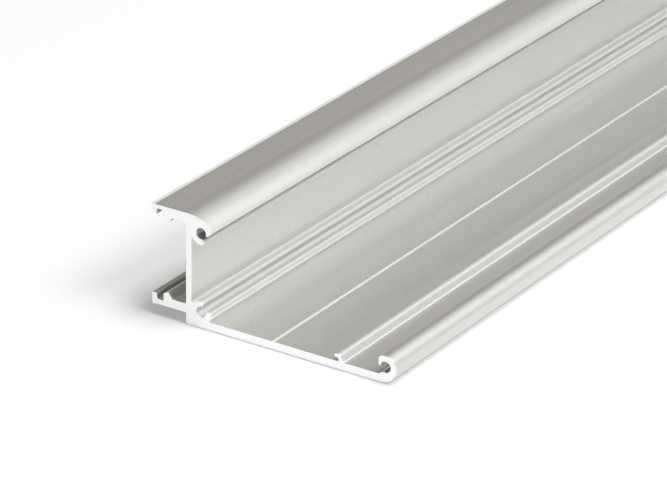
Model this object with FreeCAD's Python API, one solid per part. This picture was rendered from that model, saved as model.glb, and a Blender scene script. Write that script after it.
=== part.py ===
import FreeCAD, Part
import math
import os

# Extruded aluminium lighting profile, millimetres.
# X runs across the section, Y along the bar, Z up; the base lies on Z = 0.
# The bar's own section is drawn from the outer face of its upright web, at x = 0.

bar_length = 300.0

# Base and upright web
base_thick = 1.3
web_thick = 0.95
foot_round = 0.3

# Light channel: two flanges whose edges hold a snap-in cover
channel_recess = 1.75          # underside of the lower flange above the underside of the base
seat_gap = 14.4                # from groove floor to groove floor, the cover's own size
lower_seat_wall = 0.85         # metal left under the lower groove
upper_seat_wall = 0.65
lower_face_rise = 0.6          # from groove floor to the flat face beside the tape
upper_face_rise = 0.9
flange_reach = 6.0
bead_rise = 0.15               # of the rounded bead along each flange's outer edge
bead_width = 0.55
bead_round = 0.2
lip_thick = 0.85
lip_rise = 0.95
groove_width = 1.15
shoulder_rise = 1.15
crest_rise = 1.6
tooth_foot_run = 1.62          # from the tooth's upright face to the foot of its slope
tooth_slope = 51.0             # degrees of the tooth's slope from the flange's face
small_round = 0.12
fillet = 0.25

# Marks that centre a drill: one on the tape face, one on the tray floor
web_notch_width = 0.32
web_notch_depth = 0.18
floor_groove_width = 0.5
floor_groove_depth = 0.3
mark_round = 0.04

# Screw ports for the end caps
port_radius = 0.85
port_web_wall = 0.85           # from the web's tray face to the wall of the ports beside it
port_height = 2.55             # of the two lower ports above the underside of the base
top_port_drop = 2.65           # of the upper port below the top face
port_mouth = 79.0              # degrees left open towards the tray
mouth_start = 11.0             # degrees between the mouth and the port's level
mouth_lip = 0.12               # straight end of a port's wall at its mouth

# Arms round the ports beside the web
lower_arm_wall = 0.78
lower_arm_slope = 0.22
upper_arm_wall = 1.0
upper_arm_gap = 0.2            # between the web and the outer arc, where the arm's root begins
arm_end = 0.36                 # overhang of the lower arm's end past the port axis
upper_arm_fillet = 0.11
nub_wall = 0.85

# Crown over the upper port
crown_radius = 4.5
crown_run = 2.1                # from the web's tray face to the corner that the crown rounds off
crown_reach = 3.49             # from the web's tray face to the crown's outermost corner
crown_drop = 2.27
crown_tip = 0.3                # width of the flat under the crown's end

# Tray between the two catches that hold a slide-in strip
slot_width = 22.25
slot_height = 0.45
nub_undercut = 0.25
nub_barb = 0.2
hook_catch = 0.77
barb_rise = 0.22
hook_rise = 1.12
hook_crest_run = 0.25
hook_shoulder_run = 0.35
hook_shoulder_drop = 0.25
hook_foot_run = 1.1

# Curl along the outer edge
curl_run = 7.9                 # from the outer end of the tray's slot to the curl's axis
curl_wall = 0.9
curl_face_setback = 1.2        # from the curl's axis to its flat inner face
curl_shoulder_round = 0.85
curl_nose_angle = 163.0
curl_nose_lip = 0.14
curl_ramp_start = 0.5
curl_ramp_run = 0.65
curl_ramp_round = 0.4

# Levels and places that follow from the sizes above
lower_seat = channel_recess + lower_seat_wall
upper_seat = lower_seat + seat_gap
top = upper_seat + upper_seat_wall
tape_low = lower_seat + lower_face_rise
tape_high = upper_seat - upper_face_rise
port_offset = port_radius + port_web_wall
port_x = web_thick + port_offset
top_port_z = top - top_port_drop
nub_face = port_x + port_radius + nub_wall
slot_start = nub_face - nub_undercut
slot_end = slot_start + slot_width
slot_top = base_thick + slot_height
curl_axis = slot_end + curl_run
curl_outer = port_radius + curl_wall
curl_right = curl_axis + curl_outer
curl_top = port_height + curl_outer
section_middle = (curl_right - flange_reach) / 2


def polar(x, z, radius, degrees):
    a = math.radians(degrees)
    return x + radius * math.cos(a), z + radius * math.sin(a)


def past_end(x, z, radius, degrees, overhang, turn):
    """Point on the circle's tangent, beyond the end of an arc that turns +1 or -1."""
    px, pz = polar(x, z, radius, degrees)
    a = math.radians(degrees)
    return px - turn * overhang * math.sin(a), pz + turn * overhang * math.cos(a)


def arc_corners(x, z, radius, start, end):
    """Corners that, rounded by the radius, give an arc from one angle to the other.

    They are marked firm, so a neighbour's rounding never takes room from the arc.
    """
    count = math.ceil(abs(end - start) / 95.0)
    step = (end - start) / count
    reach = radius / math.cos(math.radians(step / 2))
    return [polar(x, z, reach, start + step * (i + 0.5)) + (radius, "firm") for i in range(count)]


def snap_edge(seat, rise, face_rise):
    """One flange from its outer face round the edge, and over lip, groove and tooth to the web."""
    lip_inner = -flange_reach + lip_thick
    tooth = lip_inner + groove_width
    foot = tooth + tooth_foot_run
    crest = foot - (crest_rise - face_rise) / math.tan(math.radians(tooth_slope))
    face = seat + rise * face_rise
    back = seat - rise * (lower_seat_wall if rise > 0 else upper_seat_wall)
    return [
        (-flange_reach + bead_width, back, bead_round),
        (-flange_reach, back - rise * bead_rise, bead_round),
        (-flange_reach, seat + rise * lip_rise, small_round),
        (lip_inner, seat + rise * lip_rise, small_round),
        (lip_inner, seat, fillet),
        (tooth, seat, small_round),
        (tooth, seat + rise * shoulder_rise, small_round),
        (crest, seat + rise * crest_rise, small_round),
        (foot, face, fillet),
        (0.0, face, fillet),
    ]


def v_mark(x, z, along, depth):
    """Small V between two edge points; along and depth are X, Z steps."""
    return [
        (x - along[0] / 2, z - along[1] / 2, mark_round),
        (x + depth[0], z + depth[1], mark_round),
        (x + along[0] / 2, z + along[1] / 2, mark_round),
    ]


def outer_curl():
    """Round the outer edge, over the curl, and through its port back to the tray floor."""
    face = curl_axis - curl_face_setback
    nose = past_end(curl_axis, port_height, port_radius, curl_nose_angle, curl_nose_lip, 1)
    ramp = curl_axis - curl_ramp_start
    return [
        (curl_right, 0.0, port_height),
        (curl_right, curl_top, curl_outer),
        (face, curl_top, curl_shoulder_round),
        (face, nose[1], small_round),
        nose + (small_round,),
        *arc_corners(curl_axis, port_height, port_radius, curl_nose_angle, -90.0),
        (ramp, port_height - port_radius, curl_ramp_round),
        (ramp - curl_ramp_run, base_thick, curl_ramp_round),
    ]


def hook_rib():
    """Rib whose barb covers the outer side of the tray's slot."""
    tip = slot_end - hook_catch
    crest = slot_end - hook_crest_run
    return [
        (slot_end + hook_foot_run, base_thick, fillet),
        (slot_end + hook_shoulder_run, base_thick + hook_rise - hook_shoulder_drop, fillet),
        (crest, base_thick + hook_rise, small_round),
        (tip, slot_top + barb_rise, small_round),
        (slot_end, slot_top, small_round),
        (slot_end, base_thick, small_round),
    ]


def corner_port():
    """Nub with its barb over the slot, the port in the corner, and the arm above it."""
    mouth_end = mouth_start + port_mouth
    nub_top = past_end(port_x, port_height, port_radius, mouth_start, mouth_lip, 1)
    outer = port_radius + lower_arm_wall
    arm_under = past_end(port_x, port_height, port_radius, mouth_end, arm_end, -1)
    arm_top = past_end(port_x, port_height, outer, mouth_end, arm_end, -1)
    return [
        (slot_start, base_thick, small_round),
        (slot_start, slot_top, small_round),
        (nub_face + nub_barb, slot_top + barb_rise, small_round),
        (nub_face, slot_top + 2 * barb_rise, small_round),
        (nub_face, nub_top[1], small_round),
        nub_top + (small_round,),
        *arc_corners(port_x, port_height, port_radius, mouth_start, mouth_end - 360.0),
        arm_under + (arm_end,),
        arm_top + (arm_end,),
        (web_thick, arm_top[1] - lower_arm_slope, small_round),
    ]


def upper_port():
    """Arm under the upper port, the port itself, and the crown over it."""
    outer = port_radius + upper_arm_wall
    end_round = upper_arm_wall / 2
    end = -mouth_start - port_mouth
    root = -math.degrees(math.acos((upper_arm_gap - port_offset) / outer))
    a = math.radians(root)
    root_z = polar(port_x, top_port_z, outer, root)[1]
    back = upper_arm_gap / math.sin(-a)
    tip = past_end(port_x, top_port_z, port_radius, -mouth_start, mouth_lip, -1)
    return [
        (web_thick, root_z - back * math.cos(a), upper_arm_fillet),
        *arc_corners(port_x, top_port_z, outer, root, end),
        past_end(port_x, top_port_z, outer, end, end_round, 1) + (end_round,),
        past_end(port_x, top_port_z, port_radius, end, end_round, 1) + (end_round,),
        *arc_corners(port_x, top_port_z, port_radius, end, -mouth_start - 360.0),
        tip + (small_round,),
        (tip[0] + crown_tip, tip[1], small_round),
        (web_thick + crown_reach, top - crown_drop, small_round),
        (web_thick + crown_run, top, crown_radius),
    ]


def section_corners():
    """The whole section as one closed round, anticlockwise seen from the front end."""
    floor_mark = v_mark((slot_start + slot_end) / 2, base_thick, (-floor_groove_width, 0.0),
                        (0.0, -floor_groove_depth))
    web_mark = v_mark(0.0, (tape_low + tape_high) / 2, (0.0, -web_notch_width),
                      (web_notch_depth, 0.0))
    return [
        (0.0, 0.0, foot_round),
        *outer_curl(),
        *hook_rib(),
        *floor_mark,
        *corner_port(),
        *upper_port(),
        *snap_edge(upper_seat, -1, upper_face_rise),
        *web_mark,
        *reversed(snap_edge(lower_seat, 1, lower_face_rise)),
        (0.0, channel_recess, small_round),
    ]


def setback_room(side, own, other, own_firm, other_firm):
    """Length of a side that one corner's rounding may take, beside the other corner's."""
    if own_firm:
        return own
    if other_firm:
        return max(side - other, 0.0)
    return side * own / (own + other)


def rounded_wire(corners):
    """Closed wire of straight lines and tangent arcs, one arc at each corner."""
    points = [FreeCAD.Vector(corner[0] - section_middle, 0, corner[1]) for corner in corners]
    firm = [corner[-1] == "firm" for corner in corners]
    count = len(points)
    sides = [points[(i + 1) % count] - points[i] for i in range(count)]
    turns = [sides[i - 1].getAngle(sides[i]) for i in range(count)]
    wanted = [corners[i][2] * math.tan(turns[i] / 2) for i in range(count)]
    arcs = []
    for i in range(count):
        j = (i + 1) % count
        before = setback_room(sides[i - 1].Length, wanted[i], wanted[i - 1], firm[i], firm[i - 1])
        after = setback_room(sides[i].Length, wanted[i], wanted[j], firm[i], firm[j])
        setback = min(wanted[i], before, after)
        radius = setback / math.tan(turns[i] / 2)
        into = FreeCAD.Vector(sides[i - 1]).normalize()
        out = FreeCAD.Vector(sides[i]).normalize()
        inward = (out - into).normalize()
        middle = points[i] + inward * (radius / math.cos(turns[i] / 2) - radius)
        arcs.append((points[i] - into * setback, middle, points[i] + out * setback))
    edges = []
    for i in range(count):
        start, middle, end = arcs[i]
        if start.distanceToPoint(end) > 1e-6:
            edges.append(Part.Arc(start, middle, end).toShape())
        following = arcs[(i + 1) % count][0]
        if end.distanceToPoint(following) > 1e-6:
            edges.append(Part.makeLine(end, following))
    return Part.Wire(edges)


section = Part.Face(rounded_wire(section_corners()))
section.translate(FreeCAD.Vector(0, -bar_length / 2, 0))
profile = section.extrude(FreeCAD.Vector(0, bar_length, 0))

os.makedirs("parts", exist_ok=True)
profile.exportStep("parts/profile.step")
print("section area mm2:", round(section.Area, 2))
print("width and height mm:", round(profile.BoundBox.XLength, 3), round(profile.BoundBox.ZLength, 3))
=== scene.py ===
import math

import bpy
import numpy as np
from mathutils import Matrix, Vector


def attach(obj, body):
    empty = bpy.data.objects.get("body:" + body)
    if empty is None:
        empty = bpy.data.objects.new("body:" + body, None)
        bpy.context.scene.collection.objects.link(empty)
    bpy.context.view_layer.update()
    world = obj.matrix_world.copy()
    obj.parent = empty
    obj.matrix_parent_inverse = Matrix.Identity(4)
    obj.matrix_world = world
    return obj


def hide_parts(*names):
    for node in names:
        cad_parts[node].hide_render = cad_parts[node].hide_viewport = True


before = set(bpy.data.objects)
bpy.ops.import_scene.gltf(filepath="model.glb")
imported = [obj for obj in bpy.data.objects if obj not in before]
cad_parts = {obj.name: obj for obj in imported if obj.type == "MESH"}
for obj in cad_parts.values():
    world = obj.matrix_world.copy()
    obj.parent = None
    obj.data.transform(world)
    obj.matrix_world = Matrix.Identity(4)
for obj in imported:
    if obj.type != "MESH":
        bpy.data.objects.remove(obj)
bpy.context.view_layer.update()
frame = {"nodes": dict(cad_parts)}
mm = 0.001
print("frame loaded, nodes:", ", ".join(frame["nodes"]))


# The bar: its section carried along Y. Sizes in millimetres, x from the web's outer face, z from the floor
bar = dict(
    length=300.0,
    baseThick=1.3, webThick=0.95, footRound=0.3,
    channelRecess=1.75, seatGap=14.4, lowerSeatWall=0.85, upperSeatWall=0.65,
    lowerFaceRise=0.6, upperFaceRise=0.9,
    flangeReach=6.0, beadRise=0.15, beadWidth=0.55, beadRound=0.2,
    lipThick=0.85, lipRise=0.95, grooveWidth=1.15, shoulderRise=1.15, crestRise=1.6,
    toothFootRun=1.62, toothSlope=51.0, smallRound=0.12, fillet=0.25,
    notchWidth=0.32, notchDepth=0.18, floorGrooveWidth=0.5, floorGrooveDepth=0.3, markRound=0.04,
    portRadius=0.85, portWebWall=0.85, portHeight=2.55, topPortDrop=2.65,
    portMouth=79.0, mouthStart=11.0, mouthLip=0.12,
    lowerArmWall=0.78, lowerArmSlope=0.85, lowerArmCrest=0.9, crestRound=1.4, armRootRound=0.22,
    upperArmWall=1.0, upperArmGap=0.2, upperArmFillet=0.11, armEnd=0.36, nubWall=0.85,
    crownRadius=4.5, crownRun=2.1, crownReach=3.49, crownDrop=2.27, crownTip=0.3,
    slotWidth=22.25, slotHeight=0.45, nubUndercut=0.25, nubBarb=0.2,
    hookCatch=0.85, barbRise=0.22, hookRise=1.15, hookCrestRun=0.45,
    hookShoulderRun=0.21, hookShoulderRound=0.85, hookFootRun=0.95, hookFootRound=0.35,
    curlRun=7.9, curlWall=0.9, curlFaceSetback=1.2, curlShoulderRound=0.85,
    curlNoseAngle=163.0, curlNoseLip=0.14, curlRampStart=0.5, curlRampRun=0.65, curlRampRound=0.4,
    sawnEdge=0.035,                       # softened edge of each sawn face
    edgeTilts=(90.0, 60.0, 30.0, 0.0),    # its normals, in degrees from the skin's, the sawn face first
    spans=12,                             # stretches of skin between the two sawn edges
    largeRadius=0.5, fineTurn=6.0,        # arcs above this radius get a point at each turn of so many degrees
    smallArcPoints=5,                     # points on every other arc
    ridgeRadius=0.45,                     # corners rounder than this get no painted highlight or shade of their own
    rampShine=2.5,                        # a shine beyond this rises or falls along its arc
    glintFaceFrom=0.45,                      # strength of the painted light marks that gives a face the skin's brighter copy for painted highlights
)
arcTurn = 95.0                            # most degrees that one corner of an arc's polygon stands for
skinSlot, sawnSlot, edgeSlot = 0, 1, 2    # the bar's materials, in the order they are added in; edgeSlot holds the skin's brighter copy for painted highlights


def polar(x, z, radius, degrees):
    a = math.radians(degrees)
    return x + radius * math.cos(a), z + radius * math.sin(a)


def pastEnd(x, z, radius, degrees, overhang, turn):  # beyond an arc's end, along its tangent
    px, pz = polar(x, z, radius, degrees)
    a = math.radians(degrees)
    return px - turn * overhang * math.sin(a), pz + turn * overhang * math.cos(a)


def arcCorners(x, z, radius, start, end, shine=0, fade=0.0):
    # Corners of the polygon that wraps the arc, each with its radius kept. The shine fades towards both ends
    count = math.ceil(abs(end - start) / arcTurn)
    step = (end - start) / count
    reach = radius / math.cos(math.radians(step / 2))
    corners = []
    for i in range(count):
        share = (i + 0.5) / count
        faded = shine * (1 - fade * math.cos(math.pi * share) ** 2)
        corners.append(polar(x, z, reach, start + step * (i + 0.5)) + (radius, 1, faded))
    return corners


def snapEdge(b, seat, rise, faceRise, wall):  # flange edge, lip, groove and tooth
    lipInner = -b["flangeReach"] + b["lipThick"]
    tooth = lipInner + b["grooveWidth"]
    foot = tooth + b["toothFootRun"]
    crest = foot - (b["crestRise"] - faceRise) / math.tan(math.radians(b["toothSlope"]))
    face, back, r = seat + rise * faceRise, seat - rise * wall, b["smallRound"]
    # The bead along the flange's edge gets a painted highlight line: its two corners' shine rises and falls
    # across it
    beadShine = 3 * rise  # less the corners' own -1 and 1, so that they add up to 3 and -3
    return [
        (-b["flangeReach"] + b["beadWidth"], back, b["beadRound"], 0, 1 - beadShine),
        (-b["flangeReach"], back - rise * b["beadRise"], b["beadRound"], 0, beadShine - 1),
        (-b["flangeReach"], seat + rise * b["lipRise"], r),
        (lipInner, seat + rise * b["lipRise"], r),
        (lipInner, seat, b["fillet"]),
        (tooth, seat, r),
        (tooth, seat + rise * b["shoulderRise"], r),
        (crest, seat + rise * b["crestRise"], r),
        (foot, face, b["fillet"]),
        (0.0, face, b["fillet"]),
    ]


def sectionCorners(b):
    # One anticlockwise round of corners: x, z, radius, then 1 where the radius is kept, and the shine
    # The shine paints highlight into the skin's colour where above 0 and shade where below 0
    r = b["smallRound"]
    lowerSeat = b["channelRecess"] + b["lowerSeatWall"]
    upperSeat = lowerSeat + b["seatGap"]
    top = upperSeat + b["upperSeatWall"]
    port = b["portRadius"]
    portX = b["webThick"] + b["portWebWall"] + port
    portZ = b["portHeight"]
    topPortZ = top - b["topPortDrop"]
    nubFace = portX + port + b["nubWall"]
    slotStart = nubFace - b["nubUndercut"]
    slotEnd = slotStart + b["slotWidth"]
    slotTop = b["baseThick"] + b["slotHeight"]
    floorZ = b["baseThick"]
    curlX = slotEnd + b["curlRun"]
    curlOuter = port + b["curlWall"]
    curlFace = curlX - b["curlFaceSetback"]
    mouthEnd = b["mouthStart"] + b["portMouth"]

    nose = pastEnd(curlX, portZ, port, b["curlNoseAngle"], b["curlNoseLip"], 1)
    ramp = curlX - b["curlRampStart"]
    curl = [
        # The curl's outer side gets painted shade (-0.35 and -0.2), its bore painted shade (-1)
        (curlX + curlOuter, 0.0, portZ, 1, -0.35),
        (curlX + curlOuter, portZ + curlOuter, curlOuter, 1, -0.2),
        (curlFace, portZ + curlOuter, b["curlShoulderRound"]),
        (curlFace, nose[1], r), nose + (r,),
        *arcCorners(curlX, portZ, port, b["curlNoseAngle"], -90.0, -1),
        (ramp, portZ - port, b["curlRampRound"]),
        (ramp - b["curlRampRun"], floorZ, b["curlRampRound"]),
    ]
    hook = [
        # Painted highlight along the hook's foot (1.7), painted shade on its crest (-0.8)
        (slotEnd + b["hookFootRun"], floorZ, b["hookFootRound"], 0, 1.7),
        (slotEnd + b["hookShoulderRun"], floorZ + b["hookRise"], b["hookShoulderRound"]),
        (slotEnd - b["hookCrestRun"], floorZ + b["hookRise"], r, 0, -0.8),
        (slotEnd - b["hookCatch"], slotTop + b["barbRise"], r),
        (slotEnd, slotTop, r), (slotEnd, floorZ, r),
    ]
    markX, m = (slotStart + slotEnd) / 2, b["markRound"]
    floorMark = [
        (markX + b["floorGrooveWidth"] / 2, floorZ, m),
        (markX, floorZ - b["floorGrooveDepth"], m),
        (markX - b["floorGrooveWidth"] / 2, floorZ, m),
    ]
    nubTop = pastEnd(portX, portZ, port, b["mouthStart"], b["mouthLip"], 1)
    armUnder = pastEnd(portX, portZ, port, mouthEnd, b["armEnd"], -1)
    armTop = pastEnd(portX, portZ, port + b["lowerArmWall"], mouthEnd, b["armEnd"], -1)
    cornerPort = [
        (slotStart, floorZ, r), (slotStart, slotTop, r),
        (nubFace + b["nubBarb"], slotTop + b["barbRise"], r),
        (nubFace, slotTop + 2 * b["barbRise"], r),
        (nubFace, nubTop[1], r), nubTop + (r,),
        # The corner port's bore gets painted light, fading towards its mouth; the arm's end painted shade (-2,
        # -0.5), its crest (0.5) and root fillet (1.5) painted highlights
        *arcCorners(portX, portZ, port, b["mouthStart"], mouthEnd - 360.0, 1, 1.0),
        armUnder + (b["armEnd"], 0, -2), armTop + (b["armEnd"], 0, -0.5),
        (b["webThick"] + b["lowerArmCrest"], armTop[1], b["crestRound"], 0, 0.5),
        (b["webThick"], armTop[1] - b["lowerArmSlope"], b["armRootRound"], 0, 1.5),
    ]
    outer = port + b["upperArmWall"]
    endRound = b["upperArmWall"] / 2
    root = -math.degrees(math.acos((b["upperArmGap"] - port - b["portWebWall"]) / outer))
    rootTurn = math.radians(root)
    rootZ = topPortZ + outer * math.sin(rootTurn) - b["upperArmGap"] * math.cos(rootTurn) / math.sin(-rootTurn)
    tip = pastEnd(portX, topPortZ, port, -b["mouthStart"], b["mouthLip"], -1)
    upperPort = [
        # The upper port's bore and the arm's end below it get painted shade (-1), the crown a faint painted
        # shade (-0.15)
        (b["webThick"], rootZ, b["upperArmFillet"]),
        *arcCorners(portX, topPortZ, outer, root, -mouthEnd),
        pastEnd(portX, topPortZ, outer, -mouthEnd, endRound, 1) + (endRound,),
        pastEnd(portX, topPortZ, port, -mouthEnd, endRound, 1) + (endRound, 0, -1),
        *arcCorners(portX, topPortZ, port, -mouthEnd, -b["mouthStart"] - 360.0, -1),
        tip + (r,), (tip[0] + b["crownTip"], tip[1], r),
        (b["webThick"] + b["crownReach"], top - b["crownDrop"], r),
        (b["webThick"] + b["crownRun"], top, b["crownRadius"], 0, -0.15),
    ]
    webZ = (lowerSeat + b["lowerFaceRise"] + upperSeat - b["upperFaceRise"]) / 2
    webMark = [
        (0.0, webZ + b["notchWidth"] / 2, m),
        (b["notchDepth"], webZ, m),
        (0.0, webZ - b["notchWidth"] / 2, m),
    ]
    lowerEdge = snapEdge(b, lowerSeat, 1, b["lowerFaceRise"], b["lowerSeatWall"])
    corners = [
        (0.0, 0.0, b["footRound"]), *curl, *hook, *floorMark, *cornerPort, *upperPort,
        *snapEdge(b, upperSeat, -1, b["upperFaceRise"], b["upperSeatWall"]),
        *webMark, *reversed(lowerEdge), (0.0, b["channelRecess"], r),
    ]
    middle = (curlX + curlOuter - b["flangeReach"]) / 2
    rows = np.array([(*c, 0, 0)[:5] for c in corners], float)
    rows[:, 0] -= middle
    return rows


def sectionLoop(b):
    # Each corner becomes an arc: setback = radius * tan(turn / 2) along both sides, points = centre + radius *
    # normal, and the normal is the incoming side's right hand normal turned by the share of the turn. Kept arcs
    # take their room first
    corners = sectionCorners(b)
    points, radius, kept = corners[:, :2], corners[:, 2], corners[:, 3] > 0
    side = np.roll(points, -1, 0) - points
    length = np.hypot(side[:, 0], side[:, 1])
    out = side / length[:, None]
    into = np.roll(out, 1, 0)
    turn = np.arctan2(into[:, 0] * out[:, 1] - into[:, 1] * out[:, 0], (into * out).sum(1))
    half = np.tan(np.abs(turn) / 2)
    wanted = radius * half

    def room(sideLength, shift):
        other, otherKept = np.roll(wanted, shift), np.roll(kept, shift)
        shared = sideLength * wanted / (wanted + other)
        return np.where(kept, wanted, np.where(otherKept, np.maximum(sideLength - other, 0), shared))

    setback = np.minimum(wanted, np.minimum(room(np.roll(length, 1), 1), room(length, -1)))
    radius = setback / half
    fine = np.ceil(np.degrees(np.abs(turn)) / b["fineTurn"]).astype(int) + 1
    count = np.where(radius > b["largeRadius"], fine, b["smallArcPoints"])
    step = np.arange(count.max())
    share = step / (count[:, None] - 1)
    angle = share * turn[:, None]
    right = np.stack([into[:, 1], -into[:, 0]], 1)
    sign = np.sign(turn)[:, None]
    centre = points - into * setback[:, None] - right * sign * radius[:, None]
    c, s = np.cos(angle), np.sin(angle)
    normal = np.stack([right[:, :1] * c - right[:, 1:] * s, right[:, :1] * s + right[:, 1:] * c], 2)
    place = centre[:, None, :] + (sign * radius[:, None])[:, :, None] * normal
    # The light mark is sin(pi * share) * shine over an arc: painted highlight above 0, painted shade below 0; a
    # small arc shines 1 outside and -1 inside, and the corner adds its own. A shine of 3 rises along the arc and
    # -3 falls, so that the flat between two such arcs gets the painted highlight too. bore is the shine of the
    # kept arcs
    shine = corners[:, 4] * ~kept + np.where(radius > b["ridgeRadius"], 0, np.sign(turn))
    shine = shine[:, None]
    ramp = np.where(shine > 0, share, 1 - share)
    paintedLight = np.where(np.abs(shine) > b["rampShine"], ramp, np.sin(np.pi * share) * shine)
    bore = np.broadcast_to((corners[:, 4] * kept)[:, None], share.shape)
    keep = step < count[:, None]
    return place[keep], normal[keep], {"paintedLight": paintedLight[keep], "bore": bore[keep]}


def barMesh(b, name):
    # A point of the skin is (loop, ring): the section point moved inwards by the ring's inset, at the ring's y.
    # At each sawn edge a quarter round of rings turns the normal from the skin's to the bar's axis
    loop, normal, marks = sectionLoop(b)
    edge, end = b["sawnEdge"], b["length"] / 2
    tilt = np.radians(b["edgeTilts"])
    inset = edge * (1 - np.cos(tilt))
    inside = np.linspace(-end + edge, end - edge, b["spans"] + 1)[1:-1]
    front = -end + edge * (1 - np.sin(tilt))
    y = np.concatenate([front, inside, -front[::-1]])
    inset = np.concatenate([inset, 0 * inside, inset[::-1]])
    tilt = np.concatenate([-tilt, 0 * inside, tilt[::-1]])
    rings, size = len(y), len(loop)
    verts = np.empty((rings, size, 3))
    verts[:, :, 0] = loop[:, 0] - inset[:, None] * normal[:, 0]
    verts[:, :, 1] = y[:, None]
    verts[:, :, 2] = loop[:, 1] - inset[:, None] * normal[:, 1]
    normals = np.empty_like(verts)
    normals[:, :, 0] = np.cos(tilt)[:, None] * normal[:, 0]
    normals[:, :, 1] = np.sin(tilt)[:, None]
    normals[:, :, 2] = np.cos(tilt)[:, None] * normal[:, 1]
    ids = np.arange(rings * size).reshape(rings, size)
    ahead = np.roll(ids, -1, 1)
    quads = np.stack([ids[:-1], ids[1:], ahead[1:], ahead[:-1]], 2).reshape(-1, 4)
    sawn = inset[:-1] + inset[1:] > 0
    # Faces under a strong painted highlight, or the painted light in the corner port, take the skin's brighter
    # copy
    mark = np.maximum(marks["paintedLight"], marks["bore"])
    brightened = (mark + np.roll(mark, -1)) / 2 > b["glintFaceFrom"]
    quadSlot = np.where(sawn[:, None], sawnSlot, np.where(brightened, edgeSlot, skinSlot)[None, :]).ravel()
    slots = np.concatenate([quadSlot, [sawnSlot, sawnSlot]])
    corners = np.concatenate([quads.ravel(), ids[0], ids[-1][::-1]])
    starts = np.concatenate([np.arange(len(quads)) * 4, [quads.size, quads.size + size]])
    mesh = bpy.data.meshes.new(name)
    mesh.vertices.add(rings * size)
    mesh.vertices.foreach_set("co", (verts * mm).astype(np.float32).ravel())
    mesh.loops.add(len(corners))
    mesh.loops.foreach_set("vertex_index", corners.astype(np.int32))
    mesh.polygons.add(len(starts))
    mesh.polygons.foreach_set("loop_start", starts.astype(np.int32))
    mesh.polygons.foreach_set("material_index", slots.astype(np.int32))
    mesh.polygons.foreach_set("use_smooth", np.ones(len(starts), bool))
    mesh.update(calc_edges=True)
    mesh.validate()
    for key, values in marks.items():
        attribute = mesh.attributes.new(key, "FLOAT", "POINT")
        attribute.data.foreach_set("value", np.tile(values, rings).astype(np.float32))
    mesh.normals_split_custom_set_from_vertices(normals.reshape(-1, 3).tolist())
    return mesh


def addObject(name, data):
    obj = bpy.data.objects.new(name, data)
    bpy.context.scene.collection.objects.link(obj)
    return obj


class Nodes:  # short hand for a node tree
    def __init__(self, tree):
        self.tree = tree
        tree.nodes.clear()

    def add(self, kind, inputs=(), **settings):
        node = self.tree.nodes.new(kind)
        for key, value in settings.items():
            setattr(node, key, value)
        for key, value in dict(inputs).items():
            if isinstance(value, bpy.types.NodeSocket):
                self.tree.links.new(value, node.inputs[key])
            else:
                node.inputs[key].default_value = value
        return node

    def math(self, operation, a, b=0.0, clamp=False):
        return self.add("ShaderNodeMath", {0: a, 1: b}, operation=operation, use_clamp=clamp).outputs[0]

    def total(self, parts, shares):  # each part times its share, added up
        total = 0.0
        for part, share in zip(parts, shares):
            total = self.math("ADD", total, self.math("MULTIPLY", part, share))
        return total

    def spread(self, value, low, high, to=(0.0, 1.0), kind="LINEAR"):  # from low..high to to[0]..to[1]
        inputs = {"Value": value, "From Min": low, "From Max": high, "To Min": to[0], "To Max": to[1]}
        return self.add("ShaderNodeMapRange", inputs, interpolation_type=kind).outputs["Result"]

    def smooth(self, value, low, high, to=(0.0, 1.0)):  # the same with soft ends
        return self.spread(value, low, high, to, "SMOOTHSTEP")

    def mix(self, factor, a, b):  # colours; a Mix node's colour sockets are 6 and 7, its colour result is 2
        return self.add("ShaderNodeMix", {0: factor, 6: a, 7: b}, data_type="RGBA").outputs[2]

    def noise(self, place, pitch, detail):  # pitch in millimetres along x, y and z
        scale = tuple(1 / (p * mm) for p in pitch)
        scaled = self.add("ShaderNodeMapping", {"Vector": place, "Scale": scale}).outputs[0]
        return self.add("ShaderNodeTexNoise", {"Vector": scaled, "Scale": 1.0, "Detail": detail}).outputs[0]


def newMaterial(name):
    material = bpy.data.materials.new(name)
    material.use_nodes = True
    return material, Nodes(material.node_tree)


def metalSurface(n, colour, rough, height, relief, metallic):
    bump = n.add("ShaderNodeBump", {"Height": height, "Strength": 1.0, "Distance": relief * mm}).outputs[0]
    inputs = {"Base Color": colour, "Roughness": rough, "Normal": bump, "Metallic": metallic}
    shader = n.add("ShaderNodeBsdfPrincipled", inputs)
    n.add("ShaderNodeOutputMaterial", {"Surface": shader.outputs[0]})


# Satin anodised skin: drawn lines and streaks along the bar, a fine etched grain, painted highlights on ridges
# and fillets, painted shade in small inside corners and hollows
skin = dict(
    # clear and dull span the skin's own tone; the third colour is the painted highlight
    clear=(0.805, 0.795, 0.767), dull=(0.735, 0.725, 0.698), paintedLight=(0.98, 0.98, 0.97),
    inner=(0.52, 0.505, 0.48),                    # painted shade: small inside corners, the upper port's and the curl's bores, the curl's outer side
    # Painted light inside the corner port's bore, fading towards its mouth
    bore=(0.87, 0.865, 0.845), boreRoughness=0.55,
    # Roughness of the skin, lower under painted highlights; edgeMetal is the metallic of the skin's brighter
    # copy for painted highlights
    roughness=(0.47, 0.54), ridgeRoughness=0.26, edgeMetal=0.55,
    # Lines, streaks, grain and clouds: their pitch, detail and share of the tone
    pitches=[(0.25, 60.0, 0.25), (1.3, 220.0, 1.3), (0.28, 0.33, 0.28), (14.0, 40.0, 14.0)],
    details=(1.5, 2.0, 3.0, 1.0), toneShares=(0.1, 0.08, 0.72, 0.1),
    toneEnds=(0.38, 0.62), roughEnds=(0.7, 1.3),  # part of the noise that the colours and the roughness span
    # Shares of the painted highlight and the painted shade colours
    ridgeShare=0.9, innerShare=0.8,
    reliefShares=(0.45, 0.55), relief=0.005,      # lines and grain, and their height in mm
    endZone=0.45, endShare=0.3,                   # lighter strip beside each saw cut, mm and share
)
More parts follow.
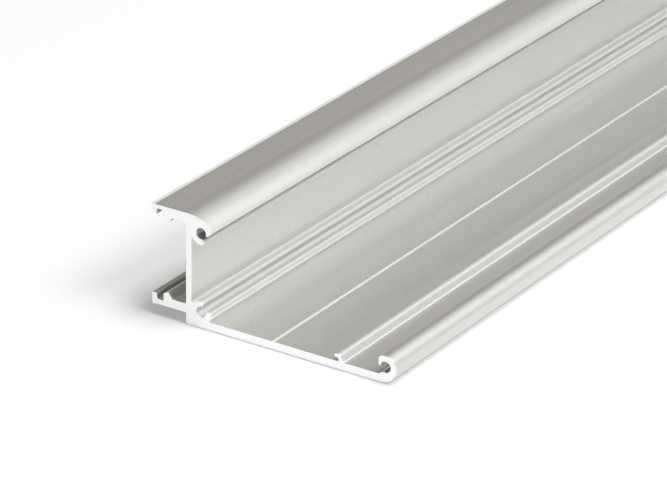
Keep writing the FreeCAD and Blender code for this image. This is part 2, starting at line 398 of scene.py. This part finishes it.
# Saw cut: arcs left by the blade, about a far centre in metres, on bright bare metal
sawnFace = dict(
    bright=(0.965, 0.965, 0.97), worn=(0.91, 0.91, 0.915), roughness=(0.28, 0.36),
    bladeCentre=(-0.085, -0.11), toothPitch=0.22, arcDetail=2.0,
    grainPitch=(0.12, 0.12, 0.12), grainDetail=3.0,
    toneShares=(0.6, 0.4), toneEnds=(0.35, 0.65), relief=0.0015,  # shares of arcs and grain
)


def anodisedSkin(s, name, metallic):
    material, n = newMaterial(name)
    place = n.add("ShaderNodeTexCoord").outputs["Object"]
    layers = [n.noise(place, pitch, detail) for pitch, detail in zip(s["pitches"], s["details"])]
    lines, streaks, grain = layers[:3]
    tone = n.spread(n.total(layers, s["toneShares"]), *s["toneEnds"])
    colour = n.mix(tone, s["dull"] + (1,), s["clear"] + (1,))
    # The light mark paints highlight (above 0) and shade (below 0); the bore mark paints light into the corner
    # port and shade into the other bores and onto the curl's outer side
    paintedLight = n.add("ShaderNodeAttribute", attribute_name="paintedLight").outputs["Fac"]
    bore = n.add("ShaderNodeAttribute", attribute_name="bore").outputs["Fac"]
    # Painted shade, where either mark is below 0
    inner = n.math("MULTIPLY", n.math("MINIMUM", paintedLight, bore), -s["innerShare"], clamp=True)
    colour = n.mix(inner, colour, s["inner"] + (1,))
    # Painted light in the corner port's bore
    colour = n.mix(bore, colour, s["bore"] + (1,))
    endY = bar["length"] / 2 * mm
    along = n.math("ABSOLUTE", n.add("ShaderNodeSeparateXYZ", {0: place}).outputs["Y"])
    atEnd = n.smooth(along, endY - s["endZone"] * mm, endY, (0.0, s["endShare"]))
    # Painted highlight from the light mark, and the lighter strip beside each saw cut; both also lower the
    # roughness
    brightened = n.math("MAXIMUM", n.math("MULTIPLY", paintedLight, s["ridgeShare"]), atEnd, clamp=True)
    colour = n.mix(brightened, colour, s["paintedLight"] + (1,))
    rough = n.spread(n.math("ADD", streaks, grain), *s["roughEnds"], s["roughness"])
    rough = n.spread(bore, 0.0, 1.0, (rough, s["boreRoughness"]))
    rough = n.spread(brightened, 0.0, 1.0, (rough, s["ridgeRoughness"]))
    height = n.total((lines, grain), s["reliefShares"])
    metalSurface(n, colour, rough, height, s["relief"], metallic)
    return material


def sawnMetal(s):
    material, n = newMaterial("sawnMetal")
    place = n.add("ShaderNodeTexCoord").outputs["Object"]
    x, z = s["bladeCentre"]
    flat = n.add("ShaderNodeVectorMath", {0: place, 1: (1, 0, 1)}, operation="MULTIPLY").outputs[0]
    reach = n.add("ShaderNodeVectorMath", {0: flat, 1: (x, 0, z)}, operation="DISTANCE").outputs["Value"]
    tooth = n.math("MULTIPLY", reach, 1 / (s["toothPitch"] * mm))
    inputs = {"W": tooth, "Scale": 1.0, "Detail": s["arcDetail"]}
    arcs = n.add("ShaderNodeTexNoise", inputs, noise_dimensions="1D").outputs[0]
    grain = n.noise(place, s["grainPitch"], s["grainDetail"])
    tone = n.total((arcs, grain), s["toneShares"])
    colour = n.mix(n.spread(tone, *s["toneEnds"]), s["worn"] + (1,), s["bright"] + (1,))
    rough = n.spread(tone, *s["toneEnds"], s["roughness"])
    metalSurface(n, colour, rough, tone, s["relief"], 1.0)
    return material


profile = addObject("profileBar", barMesh(bar, "profileBar"))
profile.data.materials.append(anodisedSkin(skin, "anodisedSkin", 1.0))
profile.data.materials.append(sawnMetal(sawnFace))
# The skin's brighter, less metallic copy, for faces under strong painted highlights
profile.data.materials.append(anodisedSkin(skin, "glintEdge", skin["edgeMetal"]))
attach(profile, "root")
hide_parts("profile")
print("bar:", len(profile.data.polygons), "faces")


# Pale floor just under the bar, sizes in metres. Its glow is seen, in the metal too, and lights nothing
floor = dict(size=16.0, drop=0.00008, colour=0.72, glow=0.18)


def paleFloor(f):
    half, z = f["size"] / 2, -f["drop"]
    mesh = bpy.data.meshes.new("floor")
    square = [(-half, -half, z), (half, -half, z), (half, half, z), (-half, half, z)]
    mesh.from_pydata(square, [], [(0, 1, 2, 3)])
    obj = addObject("floor", mesh)
    material, n = newMaterial("paleFloor")
    path = n.add("ShaderNodeLightPath").outputs
    seen = n.math("ADD", path["Is Camera Ray"], path["Is Glossy Ray"])
    seen = n.math("ADD", seen, path["Is Transmission Ray"], clamp=True)
    diffuse = n.add("ShaderNodeBsdfDiffuse", {"Color": (f["colour"],) * 3 + (1,)})
    strength = n.math("MULTIPLY", seen, f["glow"])
    glow = n.add("ShaderNodeEmission", {"Color": (1, 1, 1, 1), "Strength": strength})
    both = n.add("ShaderNodeAddShader", {0: diffuse.outputs[0], 1: glow.outputs[0]})
    n.add("ShaderNodeOutputMaterial", {"Surface": both.outputs[0]})
    mesh.materials.append(material)


paleFloor(floor)
print("floor made")


# The dome's light by direction: degrees from overhead towards +X, and its colour. Each softbox hangs on a circle
# about the bar: its angle in the same degrees, its distance, its y, its width, length and power
studio = dict(
    dome=[
        (-90, (0.0, 0.0, 0.0)), (-60, (0.05, 0.025, 0.012)),
        (-30, (0.382, 0.365, 0.33)), (0, (0.376, 0.397, 0.412)), (30, (0.413, 0.434, 0.475)),
        (60, (0.642, 0.678, 0.687)), (90, (0.655, 0.696, 0.719)),
    ],
    front=(0.2, 0.2, 0.2), frontEnds=(-0.35, 0.2),  # even light from the front, and where it gives way in y
    sweep=(0.5, 0.5, 0.5), sweepEnds=(7.0, 14.0),   # the white sheet rising behind the bar, its top in degrees
    softboxes=[
        (15, 1.5, 0.0, 0.7, 0.5, 12.0),
        (45, 1.5, 0.0, 0.7, 0.5, 3.1),
        (40, 0.75, -0.2, 0.35, 0.25, 2.0),
        (40, 1.5, 1.6, 1.0, 0.8, 2.4),
        (-25, 1.0, -1.6, 0.8, 0.6, 3.0),
    ],
)


def studioDome(s):
    world = bpy.data.worlds.new("studio")
    bpy.context.scene.world = world
    world.use_nodes = True
    n = Nodes(world.node_tree)
    direction = n.add("ShaderNodeTexCoord").outputs["Generated"]
    axes = n.add("ShaderNodeSeparateXYZ", {0: direction}).outputs
    across = n.spread(n.math("ARCTAN2", axes["X"], axes["Z"]), -math.pi / 2, math.pi / 2)
    ramp = n.add("ShaderNodeValToRGB", {"Fac": across})
    points = ramp.color_ramp.elements
    points[0].position, points[1].position = 0.0, 1.0
    for angle, colour in s["dome"][1:-1]:
        points.new(angle / 180 + 0.5)
    for point, (angle, colour) in zip(points, s["dome"]):
        point.color = colour + (1,)
    above = n.smooth(axes["Z"], *(math.sin(math.radians(e)) for e in s["sweepEnds"]))
    colour = n.mix(above, s["sweep"] + (1,), ramp.outputs["Color"])
    behind = n.smooth(axes["Y"], *s["frontEnds"])
    colour = n.mix(behind, s["front"] + (1,), colour)
    back = n.add("ShaderNodeBackground", {"Color": colour, "Strength": 1.0})
    n.add("ShaderNodeOutputWorld", {"Surface": back.outputs[0]})


def softboxes(s):
    for i, (angle, distance, y, width, length, power) in enumerate(s["softboxes"]):
        name = "softbox%d" % (i + 1)
        light = bpy.data.lights.new(name, "AREA")
        light.shape, light.size, light.size_y, light.energy = "RECTANGLE", width, length, power
        a = math.radians(angle)
        place = Vector((distance * math.sin(a), y, distance * math.cos(a)))
        turned = (-place).to_track_quat("-Z", "Y").to_matrix().to_4x4()  # the lamp shines down its own -Z
        addObject(name, light).matrix_world = Matrix.Translation(place) @ turned


studioDome(studio)
softboxes(studio)
print("studio lit by the dome and", len(studio["softboxes"]), "softboxes")


view = dict(
    azimuth=32.694, elevation=24.740, roll=-0.87, lens=218.3, sensor=36.0, clip=(0.01, 100.0),
    corner=(-0.015, -0.150, 0.0),                 # foot of the web at the sawn front end
    cornerInView=(-0.021413, -0.010655, 0.5872),  # to the right, up and into the picture, in metres
)


def camera(v):
    data = bpy.data.cameras.new("camera")
    data.lens, data.sensor_width = v["lens"], v["sensor"]
    data.clip_start, data.clip_end = v["clip"]
    obj = addObject("camera", data)
    a, e, r = (math.radians(v[k]) for k in ("azimuth", "elevation", "roll"))
    forward = Vector((-math.sin(a) * math.cos(e), math.cos(a) * math.cos(e), -math.sin(e)))
    level = Vector((math.cos(a), math.sin(a), 0.0))
    upright = level.cross(forward)
    right = level * math.cos(r) - upright * math.sin(r)
    up = level * math.sin(r) + upright * math.cos(r)
    x, y, depth = v["cornerInView"]
    place = Vector(v["corner"]) - right * x - up * y - forward * depth
    obj.matrix_world = Matrix.Translation(place) @ Matrix((right, up, -forward)).transposed().to_4x4()
    bpy.context.scene.camera = obj


camera(view)
bpy.context.scene.view_settings.view_transform = "Standard"
